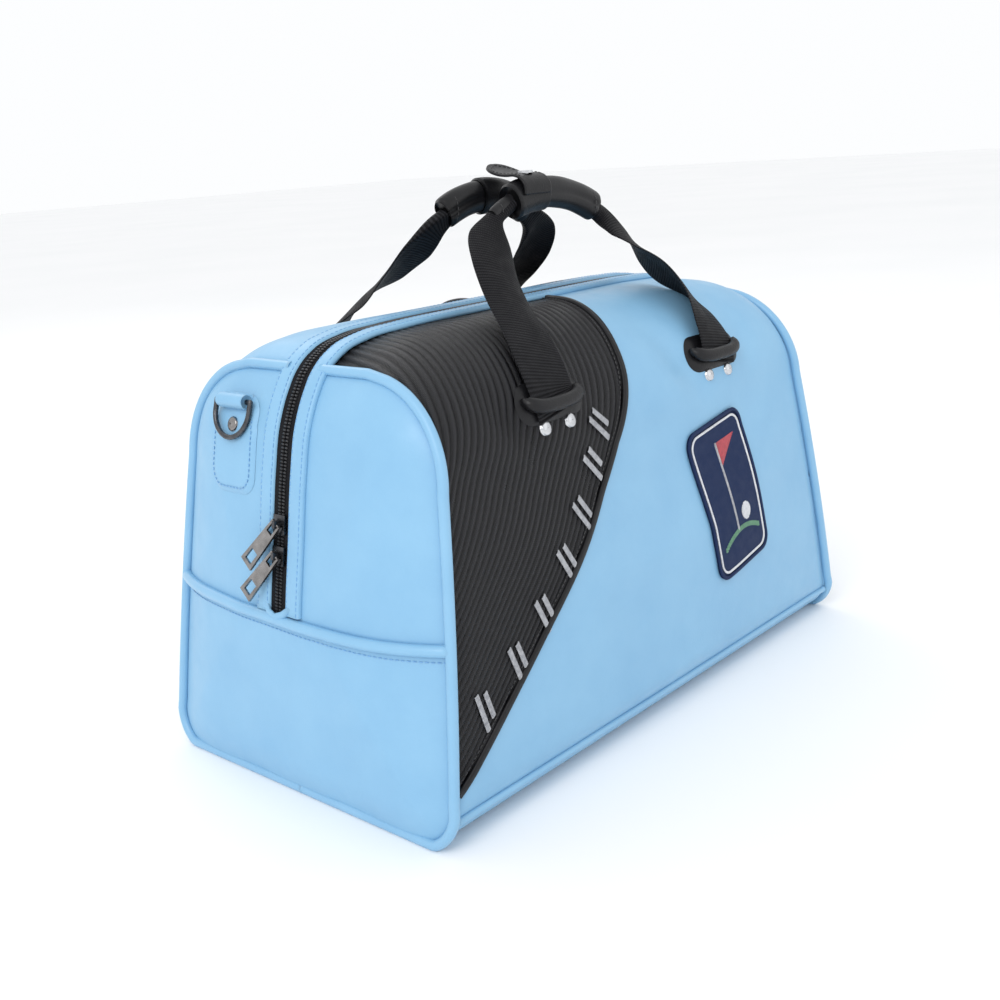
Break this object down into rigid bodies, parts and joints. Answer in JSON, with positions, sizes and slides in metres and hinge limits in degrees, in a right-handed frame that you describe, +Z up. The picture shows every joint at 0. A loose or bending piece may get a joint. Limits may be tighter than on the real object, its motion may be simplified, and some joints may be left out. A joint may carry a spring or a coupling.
{
  "type": "golf shoe bag",
  "caption": "Soft two-handle golf holdall with a zipped mouth, sweeping dark side panels, D-rings and an end shoe compartment.",
  "frame": {"origin": "centre of the flat bottom face", "axes": "+X along the bag's length towards the shoe compartment, -Y to the badge side, +Z up"},
  "size_m": [0.4653, 0.2524, 0.3548],
  "materials": {
    "blue_leather": "smooth satin coated leatherette",
    "blue_piping": "smooth satin piping",
    "dark_leather": "ribbed twill-embossed leatherette, satin",
    "black_leather": "smooth matt leatherette",
    "black_webbing": "cross-ribbed woven nylon webbing",
    "zip_tape": "woven polyester tape",
    "zip_coil": "nylon coil",
    "gunmetal": "polished dark gunmetal plate",
    "silver_metal": "polished nickel",
    "base_board": "rigid plastic sheet",
    "lining": "plain woven lining",
    "badge": "woven patch with a stitched border"
  },
  "bodies": {
    "base": {"bottom_panel": "blue_leather", "base_board": "base_board", "front_lower_blue": "blue_leather", "front_lower_dark": "dark_leather", "back_lower_blue": "blue_leather", "back_lower_dark": "dark_leather", "left_end_lower": "blue_leather", "left_end_front": "blue_leather", "left_end_back": "blue_leather", "right_end_frame": "blue_leather", "shoe_divider": "lining", "piping_lower": "blue_piping", "cross_seam_piping": "blue_piping", "facing_feet": "blue_leather", "zip_tape_feet": "zip_tape", "zip_coil_feet": "zip_coil", "door_zip_outer": "zip_tape", "badge": "badge"},
    "front_half": {"front_upper_blue": "blue_leather", "front_upper_dark": "dark_leather", "end_tops_front": "blue_leather", "facing_front": "blue_leather", "zip_tape_front": "zip_tape", "zip_coil_front": "zip_coil", "piping_front": "blue_piping", "cuffs_front": "black_leather", "strap_anchors_front": "black_webbing", "rivets_front": "silver_metal", "dring_tab_right": "blue_leather"},
    "back_half": {"back_upper_blue": "blue_leather", "back_upper_dark": "dark_leather", "end_tops_back": "blue_leather", "facing_back": "blue_leather", "zip_tape_back": "zip_tape", "zip_coil_back": "zip_coil", "piping_back": "blue_piping", "cuffs_back": "black_leather", "strap_anchors_back": "black_webbing", "rivets_back": "silver_metal", "dring_tab_left": "blue_leather"},
    "handle_front": {"handle_webbing_front": "black_webbing", "grip_sleeve_front": "black_leather", "wrap_collar_front": "black_leather"},
    "handle_back": {"handle_webbing_back": "black_webbing", "grip_sleeve_back": "black_leather", "wrap_collar_back": "black_leather"},
    "snap": {"snap_flap": "black_leather", "snap_cap": "silver_metal"},
    "ring_left": {"dring_left": "gunmetal"},
    "ring_right": {"dring_right": "gunmetal"},
    "upper_slider": {"slider_upper": "gunmetal"},
    "upper_puller": {"puller_upper": "gunmetal"},
    "lower_slider": {"slider_lower": "gunmetal"},
    "lower_puller": {"puller_lower": "gunmetal"},
    "door": {"shoe_door": "blue_leather", "door_zip_inner": "zip_tape"},
    "door_slider": {"slider_door": "gunmetal"},
    "door_puller": {"puller_door": "gunmetal"}
  },
  "joints": [
    {"name": "front_half_open", "type": "hinge", "parent": "base", "child": "front_half", "pos_m": [0, -0.1125, 0.2], "axis": [1, 0, 0], "range_deg": [0, 30]},
    {"name": "back_half_open", "type": "hinge", "parent": "base", "child": "back_half", "pos_m": [0, 0.1125, 0.2], "axis": [-1, 0, 0], "range_deg": [0, 30]},
    {"name": "front_handle_swing", "type": "hinge", "parent": "front_half", "child": "handle_front", "pos_m": [0, -0.1185, 0.238], "axis": [1, 0, 0], "range_deg": [0, 160]},
    {"name": "back_handle_swing", "type": "hinge", "parent": "back_half", "child": "handle_back", "pos_m": [0, 0.1185, 0.238], "axis": [-1, 0, 0], "range_deg": [0, 160]},
    {"name": "snap_flap_lift", "type": "hinge", "parent": "handle_front", "child": "snap", "pos_m": [0.005, -0.0262, 0.3512], "axis": [1, 0, 0], "range_deg": [0, 110]},
    {"name": "left_ring_swing", "type": "hinge", "parent": "back_half", "child": "ring_left", "pos_m": [-0.2013, 0.048, 0.236], "axis": [0, 1, 0], "range_deg": [0, 140]},
    {"name": "right_ring_swing", "type": "hinge", "parent": "front_half", "child": "ring_right", "pos_m": [0.2013, -0.048, 0.236], "axis": [0, -1, 0], "range_deg": [0, 140]},
    {"name": "upper_slider_slide", "type": "slide", "parent": "base", "child": "upper_slider", "axis": [0.1857, 0, 0.9826], "range_m": [0, 0.0235]},
    {"name": "upper_puller_lift", "type": "hinge", "parent": "upper_slider", "child": "upper_puller", "pos_m": [-0.21765, 0, 0.17061], "axis": [0.1143, 0.788, 0.6049], "range_deg": [0, 150]},
    {"name": "lower_slider_slide", "type": "slide", "parent": "base", "child": "lower_slider", "axis": [0.1857, 0, 0.9826], "range_m": [-0.0235, 0]},
    {"name": "lower_puller_lift", "type": "hinge", "parent": "lower_slider", "child": "lower_puller", "pos_m": [-0.22109, 0, 0.15243], "axis": [0.1143, 0.788, 0.6049], "range_deg": [0, 150]},
    {"name": "shoe_door_open", "type": "hinge", "parent": "base", "child": "door", "pos_m": [0.2272, 0, 0.034], "axis": [0, 1, 0], "range_deg": [0, 100]},
    {"name": "door_slider_slide", "type": "slide", "parent": "base", "child": "door_slider", "axis": [-0.0381, 0, 0.9993], "range_m": [0, 0.008]},
    {"name": "door_puller_lift", "type": "hinge", "parent": "door_slider", "child": "door_puller", "pos_m": [0.23129, 0.098, 0.0187], "axis": [0, -1, 0], "range_deg": [0, 90]}
  ]
}
